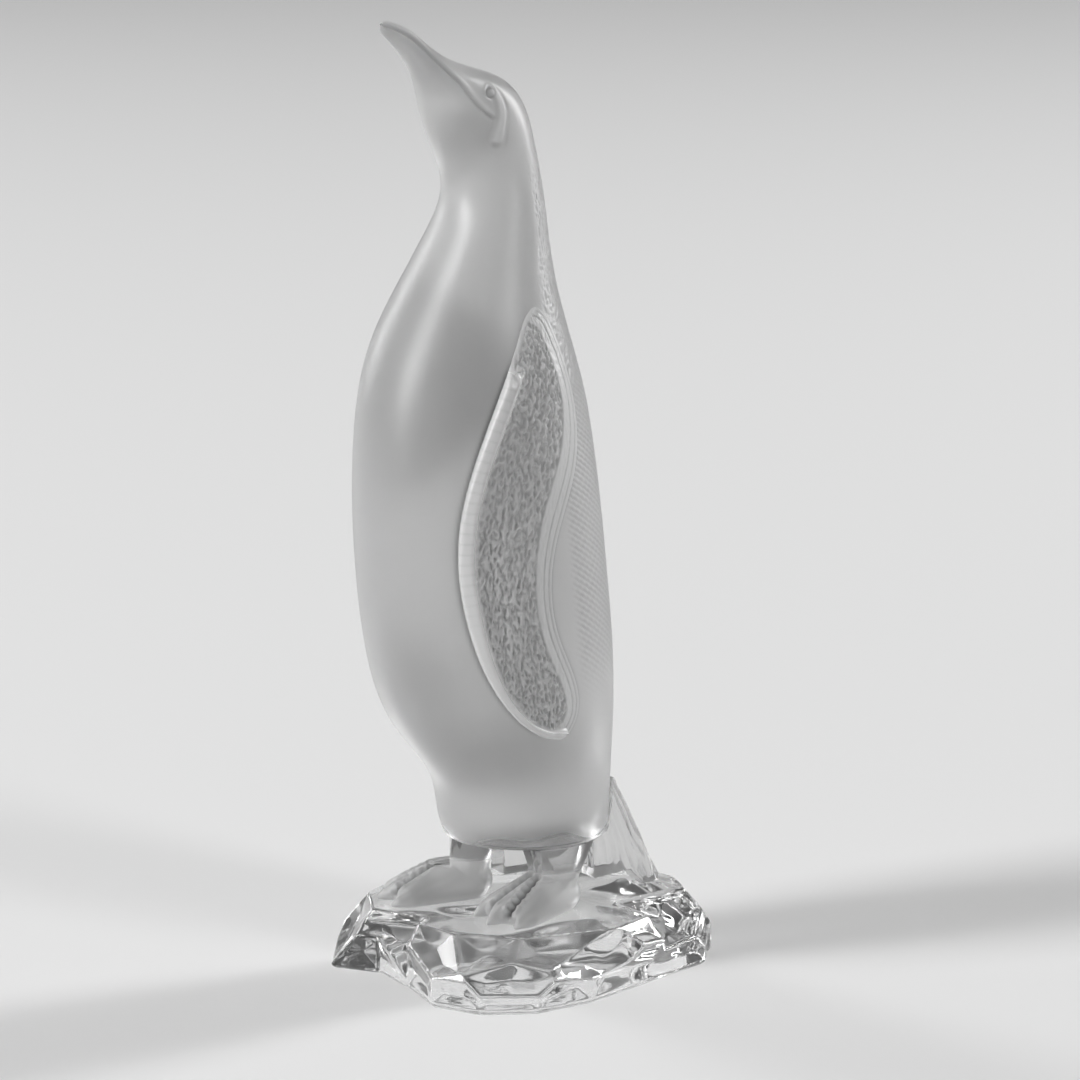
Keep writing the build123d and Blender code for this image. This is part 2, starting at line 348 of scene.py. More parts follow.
def cad_tree(node):
    """A search tree of a CAD node, in millimetres."""
    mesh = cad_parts[node].data
    faces = [tuple(face.vertices) for face in mesh.polygons]
    return BVHTree.FromPolygons(coordinates(mesh).tolist(), faces)


def ramp(values, low, high):
    """Smooth step from 0 at low to 1 at high."""
    share = np.clip((values - low) / (high - low), 0, 1)
    return share * share * (3 - 2 * share)


def bell(values, width):
    """Rounded bump: 1 in the middle and nearly 0 at twice its width."""
    return np.exp(-(values / width) ** 2)


def rounded(path, passes=3):
    """A path with its corners cut, pass by pass, until it is smooth."""
    path = np.array(path, float)
    for _ in range(passes):
        early = path[:-1] * 0.75 + path[1:] * 0.25
        late = path[:-1] * 0.25 + path[1:] * 0.75
        between = np.stack((early, late), axis=1).reshape(-1, path.shape[1])
        path = np.vstack((path[:1], between, path[-1:]))
    return path


def path_distance(points, path):
    """Distance of 2-D points from a path, the side they lie on, and how far along it they are."""
    path = np.array(path, float)
    lengths = np.linalg.norm(np.diff(path, axis=0), axis=1)
    begun = np.concatenate(([0], np.cumsum(lengths)))
    nearest = np.full(points.shape[:-1], np.inf)
    side = np.zeros_like(nearest)
    along = np.zeros_like(nearest)
    for index, length in enumerate(lengths):
        heading = (path[index + 1] - path[index]) / length
        offset = points - path[index]
        run = np.clip(offset @ heading, 0, length)
        distance = np.linalg.norm(offset - run[..., None] * heading, axis=-1)
        closer = distance < nearest
        nearest = np.where(closer, distance, nearest)
        across = heading[0] * offset[..., 1] - heading[1] * offset[..., 0]
        side = np.where(closer, np.sign(across), side)
        along = np.where(closer, begun[index] + run, along)
    return nearest, side, along


def roughness_field(points, size, seed):
    """Smooth noise, about -1 to 1, with grains of the given size along each axis."""
    places = (points / np.array(size) + seed).reshape(-1, 3)
    return np.array([noise.noise(Vector(place)) for place in places]).reshape(points.shape[:-1])


def smoothed(field, passes, closed):
    """A grid of points, each averaged with its neighbours again and again."""
    for _ in range(passes):
        padded = np.pad(field, ((1, 1), (0, 0), (0, 0)), mode="reflect", reflect_type="odd")
        field = (padded[:-2] + 2 * field + padded[2:]) / 4
        if closed:
            padded = np.concatenate((field[:, -1:], field, field[:, :1]), axis=1)
        else:
            padded = np.pad(field, ((0, 0), (1, 1), (0, 0)), mode="reflect", reflect_type="odd")
        field = (padded[:, :-2] + 2 * field + padded[:, 2:]) / 4
    return field


def grid_normals(points, closed):
    """Unit normals of a grid of points."""
    along = np.gradient(points, axis=0)
    if closed:
        across = np.roll(points, -1, axis=1) - np.roll(points, 1, axis=1)
    else:
        across = np.gradient(points, axis=1)
    normals = np.cross(across, along)
    return normals / np.linalg.norm(normals, axis=-1, keepdims=True)


def grid_faces(rows, columns, closed=False, first=0):
    """Four-sided faces of a grid of points; closed joins the last column to the first."""
    index = np.arange(rows * columns).reshape(rows, columns) + first
    if closed:
        index = np.hstack((index, index[:, :1]))
    corners = (index[:-1, :-1], index[:-1, 1:], index[1:, 1:], index[1:, :-1])
    return np.stack(corners, axis=-1).reshape(-1, 4).tolist()


# Pieces and solids

def new_piece(name, points, faces, material, slot, *nodes, shade=None, polish=None):
    """A mesh piece that stands for CAD nodes; shade is painted shade that darkens its points, and polish
    smooths them, 0 to 1.
    """
    mesh = bpy.data.meshes.new(name)
    mesh.from_pydata((np.asarray(points) * MM).tolist(), [], faces)
    mesh.materials.append(material)
    mesh.polygons.foreach_set("use_smooth", [True] * len(mesh.polygons))
    for label, values in (("shade", shade), ("polish", polish)):
        if values is not None:
            attribute = mesh.attributes.new(label, "FLOAT", "POINT")
            attribute.data.foreach_set("value", np.clip(values, 0, 1).astype(np.float32))
    mesh.update()
    piece = bpy.data.objects.new(name, mesh)
    bpy.context.scene.collection.objects.link(piece)
    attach(piece, "root")
    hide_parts(*nodes)
    return piece


def raw_object(points, faces):
    """An object for a passing use, which rides on nothing and is removed again."""
    mesh = bpy.data.meshes.new("raw_shape")
    mesh.from_pydata((np.asarray(points) * MM).tolist(), [], faces)
    raw = bpy.data.objects.new("raw_shape", mesh)
    bpy.context.scene.collection.objects.link(raw)
    return raw


def remeshed(points, faces, grain, relax, cutters=()):
    """A closed shape, less its cutters, rebuilt with even grain and relaxed: points, normals and faces."""
    raws = [raw_object(points, faces)]
    for cutter in cutters:
        raws.append(raw_object(*cutter))
        cut = raws[0].modifiers.new("cut", "BOOLEAN")
        cut.object = raws[-1]
        cut.solver = "EXACT"
    remesh = raws[0].modifiers.new("even", "REMESH")
    remesh.mode = "VOXEL"
    remesh.voxel_size = grain * MM
    relaxed = raws[0].modifiers.new("relaxed", "SMOOTH")
    relaxed.iterations = relax
    result = raws[0].evaluated_get(bpy.context.evaluated_depsgraph_get())
    shape = bpy.data.meshes.new_from_object(result)
    corners = coordinates(shape)
    normals = np.array([vertex.normal for vertex in shape.vertices])
    polygons = [tuple(face.vertices) for face in shape.polygons]
    bpy.data.meshes.remove(shape)
    for raw in raws:
        bpy.data.meshes.remove(raw.data)
    return corners, normals, polygons


def stretched_round(balls, fineness=3):
    """The closed shape stretched tight round some balls, as points and faces."""
    shape = bmesh.new()
    for x, y, z, radius in balls:
        place = Matrix.Translation((x, y, z)) @ Matrix.Scale(radius, 4)
        bmesh.ops.create_icosphere(shape, subdivisions=fineness, radius=1.0, matrix=place)
    hull = bmesh.ops.convex_hull(shape, input=shape.verts)
    bmesh.ops.delete(shape, geom=hull["geom_interior"] + hull["geom_unused"], context="VERTS")
    shape.verts.index_update()
    points = [vertex.co[:] for vertex in shape.verts]
    faces = [tuple(vertex.index for vertex in face.verts) for face in shape.faces]
    shape.free()
    return points, faces


def welded(node):
    """A CAD node as a welded bmesh with its flat faces whole."""
    shape = bmesh.new()
    shape.from_mesh(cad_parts[node].data)
    bmesh.ops.remove_doubles(shape, verts=shape.verts, dist=WELD_GAP * MM)
    bmesh.ops.dissolve_limit(shape, angle_limit=radians(FLAT_ANGLE), verts=shape.verts, edges=shape.edges)
    shape.verts.index_update()
    return shape


def node_shape(node):
    """A CAD node's points and faces."""
    shape = welded(node)
    points = [tuple(vertex.co / MM) for vertex in shape.verts]
    faces = [tuple(vertex.index for vertex in face.verts) for face in shape.faces]
    shape.free()
    return points, faces


# Materials

def noise_value(tree, place, scale, detail):
    """Noise, 0 to 1, at a place."""
    texture = tree.nodes.new("ShaderNodeTexNoise")
    texture.inputs["Scale"].default_value = scale
    texture.inputs["Detail"].default_value = detail
    tree.links.new(place, texture.inputs["Vector"])
    return texture.outputs["Fac"]


def point_value(tree, label):
    """A value that a mesh holds at its points."""
    attribute = tree.nodes.new("ShaderNodeAttribute")
    attribute.attribute_name = label
    return attribute.outputs["Fac"]


def mapped(tree, value, ends, starts=(0.0, 1.0)):
    """A value carried from one range to another."""
    change = tree.nodes.new("ShaderNodeMapRange")
    change.inputs["From Min"].default_value, change.inputs["From Max"].default_value = starts
    change.inputs["To Min"].default_value, change.inputs["To Max"].default_value = ends
    tree.links.new(value, change.inputs["Value"])
    return change.outputs["Result"]


def shader(name, color, painted_shade_color, roughness, transmission, grain_size, grain_relief, milk=0.0, sheen=0.0):
    """Crystal with an etched grain, darkened toward a second colour where its points hold painted shade;
    roughness and transmission are pairs, for plain and polished places.
    """
    material = bpy.data.materials.new(name)
    material.use_nodes = True
    tree = material.node_tree
    surface = tree.nodes["Principled BSDF"]
    surface.inputs["IOR"].default_value = REFRACTION
    surface.inputs["Sheen Weight"].default_value = sheen
    surface.inputs["Sheen Roughness"].default_value = SHEEN_ROUGHNESS
    surface.inputs["Subsurface Weight"].default_value = milk
    surface.inputs["Subsurface Radius"].default_value = (1.0, 1.0, 1.0)
    surface.inputs["Subsurface Scale"].default_value = MILK_DEPTH * MM
    place = tree.nodes.new("ShaderNodeTexCoord").outputs["Object"]
    cloud = noise_value(tree, place, CLOUDS_PER_METRE, CLOUD_DETAIL)
    polish = point_value(tree, "polish")

    # Colour, faintly clouded, and darkened toward the painted shade colour where the points hold painted
    # shade
    tint = tree.nodes.new("ShaderNodeMix")
    tint.data_type = "RGBA"
    tint.inputs["A"].default_value = (*(CLOUD_DARK * part for part in color), 1)
    tint.inputs["B"].default_value = (*(min(1.0, CLOUD_BRIGHT * part) for part in color), 1)
    tree.links.new(cloud, tint.inputs["Factor"])
    pits_and_painted_shade = tree.nodes.new("ShaderNodeMix")
    pits_and_painted_shade.data_type = "RGBA"
    pits_and_painted_shade.inputs["B"].default_value = (*painted_shade_color, 1)
    tree.links.new(tint.outputs["Result"], pits_and_painted_shade.inputs["A"])
    tree.links.new(point_value(tree, "shade"), pits_and_painted_shade.inputs["Factor"])
    tree.links.new(pits_and_painted_shade.outputs["Result"], surface.inputs["Base Color"])

    # Polished places are smoother and clearer, and the frosting is a little uneven
    tree.links.new(mapped(tree, polish, transmission), surface.inputs["Transmission Weight"])
    rough = tree.nodes.new("ShaderNodeMath")
    rough.operation = "MULTIPLY"
    tree.links.new(mapped(tree, polish, roughness), rough.inputs[0])
    tree.links.new(mapped(tree, cloud, CLOUD_ROUGHNESS), rough.inputs[1])
    tree.links.new(rough.outputs["Value"], surface.inputs["Roughness"])

    # Etched grain
    bump = tree.nodes.new("ShaderNodeBump")
    bump.inputs["Strength"].default_value = GRAIN_STRENGTH
    bump.inputs["Distance"].default_value = grain_relief * MM
    tree.links.new(noise_value(tree, place, 1 / (grain_size * MM), GRAIN_DETAIL), bump.inputs["Height"])
    tree.links.new(bump.outputs["Normal"], surface.inputs["Normal"])
    return material


frosted = shader("frosted_crystal", MILK, PAINTED_SHADE_GREY, roughness=(0.37, 0.04), transmission=(0.7, 0.96),
                 grain_size=0.5, grain_relief=0.03, milk=0.6, sheen=0.45)
engraved = shader("engraved_crystal", WHITE, PAINTED_SHADE_GREY, roughness=(0.33, 0.18), transmission=(0.45, 0.45),
                  grain_size=0.4, grain_relief=0.02, sheen=0.4)
satin = shader("satin_crystal", PALE, PAINTED_SHADE_DARK, roughness=(0.34, 0.05), transmission=(0.7, 0.96),
               grain_size=0.5, grain_relief=0.02, sheen=0.4)
clear = shader("clear_crystal", CLEAR, PAINTED_SHADE_GREY, roughness=(0.22, 0.02), transmission=(0.95, 0.98),
               grain_size=3.0, grain_relief=0.02)


# Flipper outline

def flipper_edges(node, heights):
    """The front and rear edge of a CAD flipper, as y at each height."""
    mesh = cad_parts[node].data
    corners = coordinates(mesh)
    ends = np.array([edge.vertices[:] for edge in mesh.edges])
    low, high = corners[ends[:, 0]], corners[ends[:, 1]]
    fronts, rears = [], []
    for level in heights:
        crossing = (low[:, 2] - level) * (high[:, 2] - level) < 0
        share = (level - low[crossing, 2]) / (high[crossing, 2] - low[crossing, 2])
        crossed = low[crossing, 1] + share * (high[crossing, 1] - low[crossing, 1])
        fronts.append(crossed.min())
        rears.append(crossed.max())
    return np.array(fronts), np.array(rears)


flipper_low, flipper_high = (corner.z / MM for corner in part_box("left_flipper"))
flipper_high -= SHOULDER_CUT
row_share = np.linspace(FLIPPER_MARGIN, 1 - FLIPPER_MARGIN, FLIPPER_ROWS)
row_share = row_share - FLIPPER_CROWDING * np.sin(2 * pi * row_share)
flipper_heights = flipper_low + (flipper_high - flipper_low) * row_share
flipper_fronts, flipper_rears = flipper_edges("left_flipper", flipper_heights)
to_top = np.clip(1 - (flipper_high - flipper_heights) / SHOULDER_ROUND, 0, 1)
narrowing = (flipper_rears - flipper_fronts) * (1 - np.sqrt(1 - to_top ** 2)) / 2
flipper_fronts = flipper_fronts + narrowing
flipper_rears = flipper_rears - narrowing
front_path = np.stack((flipper_fronts, flipper_heights), axis=-1)[::FLIPPER_PATH_STEP]
rear_path = np.stack((flipper_rears, flipper_heights), axis=-1)[::FLIPPER_PATH_STEP]


# Body skin, cast from the middle line onto the CAD body and smoothed

body_tree = cad_tree("body")
stations = np.array(SPINE, float)
spine_lengths = np.linalg.norm(np.diff(stations[:, :2], axis=0), axis=1)
spine_places = np.concatenate(([0], np.cumsum(spine_lengths)))
spine_end = spine_places[-1]
ring_places = []
ring_start = FIRST_RING
tip_steps = ((spine_end - TIP_ROUND, HEAD_STEP), (spine_end - LAST_RING_GAP, TIP_STEP))
for ring_end, step in RING_STEPS + tip_steps:
    ring_count = round((ring_end - ring_start) / step)
    ring_places.extend(np.linspace(ring_start, ring_end, ring_count, endpoint=False))
    ring_start = ring_end
ring_places = np.array(ring_places)
rings = len(ring_places)
ring_y, ring_z, ring_tilt = (np.interp(ring_places, spine_places, column) for column in stations.T)
ring_tilt = np.radians(ring_tilt)
turns = 2 * pi * np.arange(RING_SEGMENTS) / RING_SEGMENTS
angles = turns + BACK_CROWDING * np.sin(turns)

centres = np.stack((np.zeros_like(ring_y), ring_y, ring_z), axis=-1)
rearward = np.stack((np.zeros_like(ring_y), np.cos(ring_tilt), np.sin(ring_tilt)), axis=-1)
sideward = np.sin(angles)[None, :, None] * np.array((1.0, 0, 0))
headings = sideward - np.cos(angles)[None, :, None] * rearward[:, None]
radii = np.array([[body_tree.ray_cast(Vector(centre), Vector(heading))[3] for heading in ring]
                  for centre, ring in zip(centres, headings)])
skin = smoothed(centres[:, None] + headings * radii[..., None], SKIN_SMOOTHING, closed=True)


# Body carving: each function gives how far the skin rises and how much painted shade darkens it

def on_head(points):
    """1 on the head and 0 below it."""
    return ramp(points[..., 2], *HEAD_ZONE)


def on_back():
    """1 round the spine and 0 on the sides and the front."""
    return 1 - ramp(np.degrees(np.abs(angles - pi)), *BACK_EDGE)


def mouth_line(points):
    """A cut between the halves of the beak, darkened with painted shade; the upper half and the face stand
    a little proud.
    """
    gap, side, along = path_distance(points[..., 1:], rounded(MOUTH_LINE))
    signed = gap * side
    carved = on_head(points) * (1 - ramp(along, along.max() - MOUTH_FADE, along.max()))
    rise = LIP_RISE * bell(signed - LIP_PLACE, LIP_WIDTH) - MOUTH_CUT * bell(signed, MOUTH_WIDTH)
    return carved * rise, MOUTH_SHADE * carved * bell(signed, MOUTH_SHADE_WIDTH)


def cheek_stripe(points):
    """A stripe behind the eye, flat on top, with a shallow cut round it, in a cheek darkened with painted
    shade.
    """
    gap, _, along = path_distance(points[..., 1:], rounded(CHEEK_STRIPE))
    head = on_head(points)
    width = STRIPE_WIDTH + STRIPE_WIDENING * along / along.max()
    stripe = head * np.exp(-(gap / width) ** 4)
    cut = head * bell(gap - STRIPE_CUT_PLACE * width, STRIPE_CUT_WIDTH)
    return STRIPE_RISE * stripe - STRIPE_CUT * cut, CHEEK_SHADE * (head - stripe) * bell(gap, CHEEK_REACH)


def eye(points):
    """A small bead in a ringed socket, with painted shade in the ring, under a brow."""
    gap = np.linalg.norm(points[..., 1:] - np.array(EYE), axis=-1)
    head = on_head(points)
    bead = BEAD_RISE * bell(gap, BEAD_WIDTH)
    socket = bell(gap - SOCKET_RADIUS, SOCKET_WIDTH)
    brow = BROW_RISE * ramp(points[..., 2], *BROW_ZONE) * bell(gap - BROW_RADIUS, BROW_WIDTH)
    return head * (bead - SOCKET_CUT * socket + brow), SOCKET_SHADE * head * socket


def feather_rows(points):
    """Scalloped rows on the back, which fall toward the spine, with painted shade in the troughs between
    them.
    """
    height = points[..., 2]
    arc = np.cumsum(np.linalg.norm(points - np.roll(points, 1, axis=1), axis=-1), axis=1)
    arc = np.abs(arc - arc[:, RING_SEGMENTS // 2][:, None])
    zone = on_back() * ramp(height, *ROW_START) * (1 - ramp(height, *ROW_END))
    phase = (height - ROW_CLIMB * arc) / ROW_PITCH
    scallop = np.cos(2 * pi * (arc / SCALLOP_PITCH + 0.5 * np.floor(phase)))
    swell = np.abs(np.sin(pi * phase))
    rise = ROW_RELIEF * (swell * (ROW_CROWN + SCALLOP_RISE * scallop) - ROW_SINK)
    return zone * rise, ROW_SHADE * zone * (1 - swell) ** 2


def nape_stipple(points):
    """Small pits above the feather rows, darkened with painted shade."""
    height = points[..., 2]
    zone = on_back() * ramp(height, *NAPE_START) * (1 - ramp(height, *NAPE_END))
    pits_and_painted_shade = zone * ramp(-roughness_field(points, NAPE_GRAIN, NAPE_SEED), *NAPE_PIT_STEP)
    return -NAPE_PIT_DEPTH * pits_and_painted_shade, NAPE_SHADE * pits_and_painted_shade


def flipper_creases(points):
    """Painted shade where the flippers meet the body, with no rise."""
    from_front = path_distance(points[..., 1:], front_path)[0]
    from_rear = path_distance(points[..., 1:], rear_path)[0]
    dark = FRONT_CREASE_SHADE * bell(from_front, CREASE_WIDTH)
    dark = dark + REAR_CREASE_SHADE * bell(from_rear, CREASE_WIDTH)
    return np.zeros_like(dark), dark * (1 - ramp(points[..., 2], *CREASE_END))


def hem_rounding(points):
    """The hem, rounded under, with no shade."""
    above_hem = np.clip(points[..., 2] - HEM, 0, HEM_ROUND)
    sunk = HEM_ROUND - np.sqrt(HEM_ROUND ** 2 - (HEM_ROUND - above_hem) ** 2)
    return -sunk, np.zeros_like(sunk)


lift = np.zeros(skin.shape[:2])
body_shade = np.zeros_like(lift)
for carve in (mouth_line, cheek_stripe, eye, feather_rows, nape_stipple, flipper_creases, hem_rounding):
    rise, dark = carve(skin)
    lift += rise
    body_shade += dark

# The frosting ends in a wavy border over the hem
border = sum(wave * np.sin(waves * angles + phase) for wave, waves, phase in HEM_WAVES)
body_polish = HEM_POLISH * (1 - ramp(skin[..., 2] + border, HEM, HEM + HEM_CLEAR))

# The beak's tip is rounded, and a middle point closes the hem and the tip
ring_middles = skin.mean(axis=1, keepdims=True)
to_tip = np.clip((TIP_ROUND - (spine_end - ring_places)) / TIP_ROUND, 0, 1)
skin = skin + grid_normals(skin, closed=True) * lift[..., None]
skin = ring_middles + (skin - ring_middles) * np.sqrt(1 - to_tip ** 2)[:, None, None]
hem_middle = (0.0, ring_y[0], HEM + FIRST_RING)
tip_middle = 1.5 * ring_middles[-1] - 0.5 * ring_middles[-2]
body_points = np.vstack((skin.reshape(-1, 3), hem_middle, tip_middle))
body_faces = grid_faces(rings, RING_SEGMENTS, closed=True)
hem_index = rings * RING_SEGMENTS
tip_index = hem_index + 1
top_row = (rings - 1) * RING_SEGMENTS
for index in range(RING_SEGMENTS):
    following = (index + 1) % RING_SEGMENTS
    body_faces.append((hem_index, following, index))
    body_faces.append((tip_index, top_row + index, top_row + following))
new_piece("frosted_body", body_points, body_faces, frosted, "frosted_crystal",
          "body", "flipper_bonds", "ankle_bonds",
          shade=np.append(body_shade.ravel(), (0, 0)), polish=np.append(body_polish.ravel(), (1, 1)))


# Flippers

def flipper_seat(places):
    """The body's skin under the left flipper, at a grid of places as (y, z)."""
    inward = Vector((-1, 0, 0))
    x = np.array([[body_tree.ray_cast(Vector((FAR_LEFT, *place)), inward)[0].x for place in row]
                  for row in places])
    return smoothed(np.concatenate((x[..., None], places), axis=-1), FLIPPER_SMOOTHING, closed=False)


def flipper_relief(places, seat):
    """How far a flipper rises from its seat, how much painted shade darkens it, and where its polished rim
    runs.
    """
    height = places[..., 1]
    from_front, _, along = path_distance(places, front_path)
    from_rear = path_distance(places, rear_path)[0]

    # Rim, round in section, with painted shade in its notches, that ends below the shoulder; the sunk panel
    # thins toward the shoulder
    panel = PANEL_HEIGHT + (SHOULDER_HEIGHT - PANEL_HEIGHT) * ramp(height, PANEL_THINNING, flipper_high)
    rim_width = RIM_TIP_WIDTH + (RIM_WIDTH - RIM_TIP_WIDTH) * ramp(height, *RIM_WIDENING_ZONE)
    crown = np.clip(2 * from_front / rim_width - 1, -1, 1)
    level = np.where(crown < 0, FLIPPER_EDGE_HEIGHT, panel)
    rim = np.sqrt(1 - crown ** 4)
    plain = FLIPPER_EDGE_HEIGHT + (panel - FLIPPER_EDGE_HEIGHT) * ramp(from_front, *PLAIN_EDGE)
    reach = 1 - ramp(height, *RIM_END)
    rise = plain + (level + (RIM_HEIGHT - level) * rim - plain) * reach
    on_rim = (1 - ramp(from_front - rim_width, *RIM_STEP)) * reach
    notch = np.clip(np.cos(2 * pi * along / NOTCH_PITCH), 0, 1) ** 4 * ramp(height, *NOTCH_ZONE) * on_rim
    rise = rise - NOTCH_DEPTH * notch * rim

    # Panel: wavy pits, and a smooth band along the rear with fine lines, which thins to the rear edge;
    # painted shade darkens the panel, most in its pits and lines
    on_panel = ramp(from_front - rim_width, *PANEL_STEP)
    on_panel = np.maximum(on_panel, ramp(from_front, *PANEL_TOP_STEP) * (1 - reach))
    band_width = REAR_BAND + REAR_BULGE * bell(height - REAR_BULGE_HEIGHT, REAR_BULGE_REACH)
    band = 1 - ramp(from_rear - band_width, *REAR_STEP)
    slope = 1 - ramp(from_rear, 0, band_width + REAR_SLOPE)
    rise = rise - (panel - REAR_HEIGHT) * slope * on_panel
    grain = roughness_field(seat, STIPPLE_SIZE, STIPPLE_SEED)
    grain = grain + FINE_STIPPLE * roughness_field(seat, STIPPLE_SIZE / 2, FINE_STIPPLE_SEED)
    pits_and_painted_shade = ramp(-grain, *STIPPLE_STEP) * on_panel * (1 - REAR_CALM * band)
    lines = sum(bell(from_rear - share * band_width, REAR_LINE_WIDTH) for share in REAR_LINES) * on_panel
    rise = rise - STIPPLE * pits_and_painted_shade - REAR_LINE_DEPTH * lines
    rise = FLIPPER_EDGE_HEIGHT + (rise - FLIPPER_EDGE_HEIGHT) * ramp(from_rear, 0, REAR_TAPER + on_rim)
    rise = np.clip(rise, FLIPPER_EDGE_HEIGHT, RIM_HEIGHT)
    dark = PANEL_SHADE * on_panel + STIPPLE_SHADE * pits_and_painted_shade ** 2
    dark = dark + REAR_LINE_SHADE * lines + NOTCH_SHADE * notch
    return rise, dark, on_rim


def flipper(node, mirrored):
    """A flipper laid over the body: its outer face, its inner face on the bond, and the edge between."""
    normals = grid_normals(flipper_bed, closed=False)
    outer = flipper_bed + normals * flipper_rise[..., None]
    inner = flipper_bed + normals * BOND
    points = np.vstack((outer.reshape(-1, 3), inner.reshape(-1, 3)))
    count = FLIPPER_ROWS * FLIPPER_COLUMNS
    index = np.arange(count).reshape(FLIPPER_ROWS, FLIPPER_COLUMNS)
    loop = np.concatenate((index[0], index[1:, -1], index[-1, -2::-1], index[-2:0:-1, 0]))
    faces = grid_faces(FLIPPER_ROWS, FLIPPER_COLUMNS)
    faces += [face[::-1] for face in grid_faces(FLIPPER_ROWS, FLIPPER_COLUMNS, first=count)]
    following = np.roll(loop, -1)
    faces += np.stack((following, loop, loop + count, following + count), axis=-1).tolist()
    if mirrored:
        points = points * np.array((-1, 1, 1))
        faces = [face[::-1] for face in faces]
    new_piece("engraved_" + node, points, faces, engraved, "engraved_crystal", node,
              shade=np.tile(flipper_shade.ravel(), 2), polish=np.tile(flipper_polish.ravel(), 2))


columns = np.linspace(0, 1, FLIPPER_COLUMNS)
flipper_y = flipper_fronts[:, None] + (flipper_rears - flipper_fronts)[:, None] * columns
flipper_places = np.stack((flipper_y, np.broadcast_to(flipper_heights[:, None], flipper_y.shape)), axis=-1)
flipper_bed = flipper_seat(flipper_places)
flipper_rise, flipper_shade, flipper_polish = flipper_relief(flipper_places, flipper_bed)
flipper("left_flipper", mirrored=False)
flipper("right_flipper", mirrored=True)


# Feet

def foot_shape():
    """A foot on its own sole, toes along -Y: points, normals and faces."""
    parts = [(COLLAR, ANKLE), (ANKLE, INSTEP)]
    mound = [INSTEP, HEEL]
    for sideways, setback in TOES:
        joint, toe, claw = ((spread * sideways, y + setback, z, radius)
                            for spread, y, z, radius in TOE_BALLS)
        parts += [(joint, toe), (toe, claw)]
        mound.append(joint)
    parts.append(mound)
    points, faces = [], []
    for balls in parts:
        part_points, part_faces = stretched_round(balls)
        faces += [tuple(len(points) + corner for corner in face) for face in part_faces]
        points += part_points
    return remeshed(points, faces, FOOT_GRAIN, FOOT_RELAXING)


def toe_grooves(points):
    """Rise and painted shade of the toothed grooves between the toes, and painted shade on the web's top,
    at each point of a foot.
    """
    sides = np.stack((np.abs(points[:, 0]), points[:, 1]), axis=-1)
    gap, _, along = path_distance(sides, rounded(TOE_GROOVES))
    teeth = 0.5 + 0.5 * np.cos(2 * pi * along / SERRATION)
    on_top = ramp(points[:, 2], *WEB_ZONE)
    groove = on_top * bell(gap, GROOVE_WIDTH + TOOTH_WIDTH * teeth)
    lip = on_top * bell(gap - GROOVE_LIP_PLACE, GROOVE_LIP_WIDTH)
    lip = lip * (GROOVE_LIP_LEAST + (1 - GROOVE_LIP_LEAST) * teeth)
    rise = GROOVE_LIP_RISE * lip - GROOVE_DEPTH * groove
    return rise, WEB_SHADE * on_top * (1 - lip) + GROOVE_SHADE * groove


def within_hem(points):
    """A foot's points, with the ankle spread to the hem's edge and no further."""
    centre = np.array((0, ring_y[0]))
    hem_ring = skin[0, :, :2] - centre
    hem_bearings = np.arctan2(hem_ring[:, 1], hem_ring[:, 0])
    from_hem = points[:, :2] - centre
    reach = np.linalg.norm(from_hem, axis=1)
    bearings = np.arctan2(from_hem[:, 1], from_hem[:, 0])
    limit = np.interp(bearings, hem_bearings, np.linalg.norm(hem_ring, axis=1), period=2 * pi)
    outside = (points[:, 2] > SOLE + ANKLE_LOW) & (reach > limit)
    pull = np.ones(len(points))
    pull[outside] = limit[outside] / reach[outside]
    return np.column_stack((centre + from_hem * pull[:, None], points[:, 2]))


def foot(node):
    """A foot: a clear ankle that spreads into a webbed mound with three toes and grooves between them."""
    points, normals, faces = foot_shape()
    rise, dark = toe_grooves(points)
    points = points + normals * rise[:, None]
    points[:, 2] = np.clip(points[:, 2], 0, ANKLE_TOP)
    x, y, turn = FOOT_STANDS[node]
    turned = np.array(Matrix.Rotation(radians(turn), 3, "Z"))
    points = within_hem(points @ turned.T + np.array((x, y, SOLE)))
    height = points[:, 2]
    # The painted shade of the grooves and the web fades out up the ankle
    new_piece("satin_" + node, points, faces, satin, "satin_crystal", node,
              shade=dark * (1 - ramp(height, *ANKLE_SHADE_END)),
              polish=ANKLE_POLISH * ramp(height, *ANKLE_CLEAR_ZONE))


foot("left_foot")
foot("right_foot")


# Tail, with feathers that fan down from the hem

tail_points, tail_normals, tail_faces = remeshed(*node_shape("tail"), TAIL_GRAIN, TAIL_RELAXING)
fan_y, fan_z = TAIL_FAN
fan = np.degrees(np.arctan2(fan_z - tail_points[:, 2], tail_points[:, 1] - fan_y))
fan = fan + TAIL_WAVER * roughness_field(tail_points, TAIL_WAVER_SIZE, TAIL_SEED)
feathers = np.abs(np.sin(pi * fan / TAIL_FEATHERS))
wedge = ramp(tail_points[:, 1], *TAIL_WEDGE_ZONE) * ramp(tail_normals[:, 2], *TAIL_FACING_STEP)
tail_points = tail_points - tail_normals * (TAIL_RELIEF * wedge * (1 - feathers))[:, None]
new_piece("clear_tail", tail_points, tail_faces, satin, "clear_crystal", "tail", "tail_bonds",
          polish=1 - wedge * (TAIL_SATIN - TAIL_FEATHER_GLOSS * feathers))


# Ice

def ridge_tree(node):
    """A search tree of points close together along the sharp edges of a CAD node."""
    shape = welded(node)
    spots = []
    for edge in shape.edges:
        if edge.calc_face_angle(0) > radians(RIDGE_ANGLE):
            start, end = (np.array(vertex.co) / MM for vertex in edge.verts)
            count = int(np.linalg.norm(end - start) / RIDGE_SPACING) + 2
            spots.extend(start + (end - start) * share for share in np.linspace(0, 1, count))
    shape.free()
    tree = KDTree(len(spots))
    for number, spot in enumerate(spots):
        tree.insert(Vector(spot), number)
    tree.balance()
    return tree


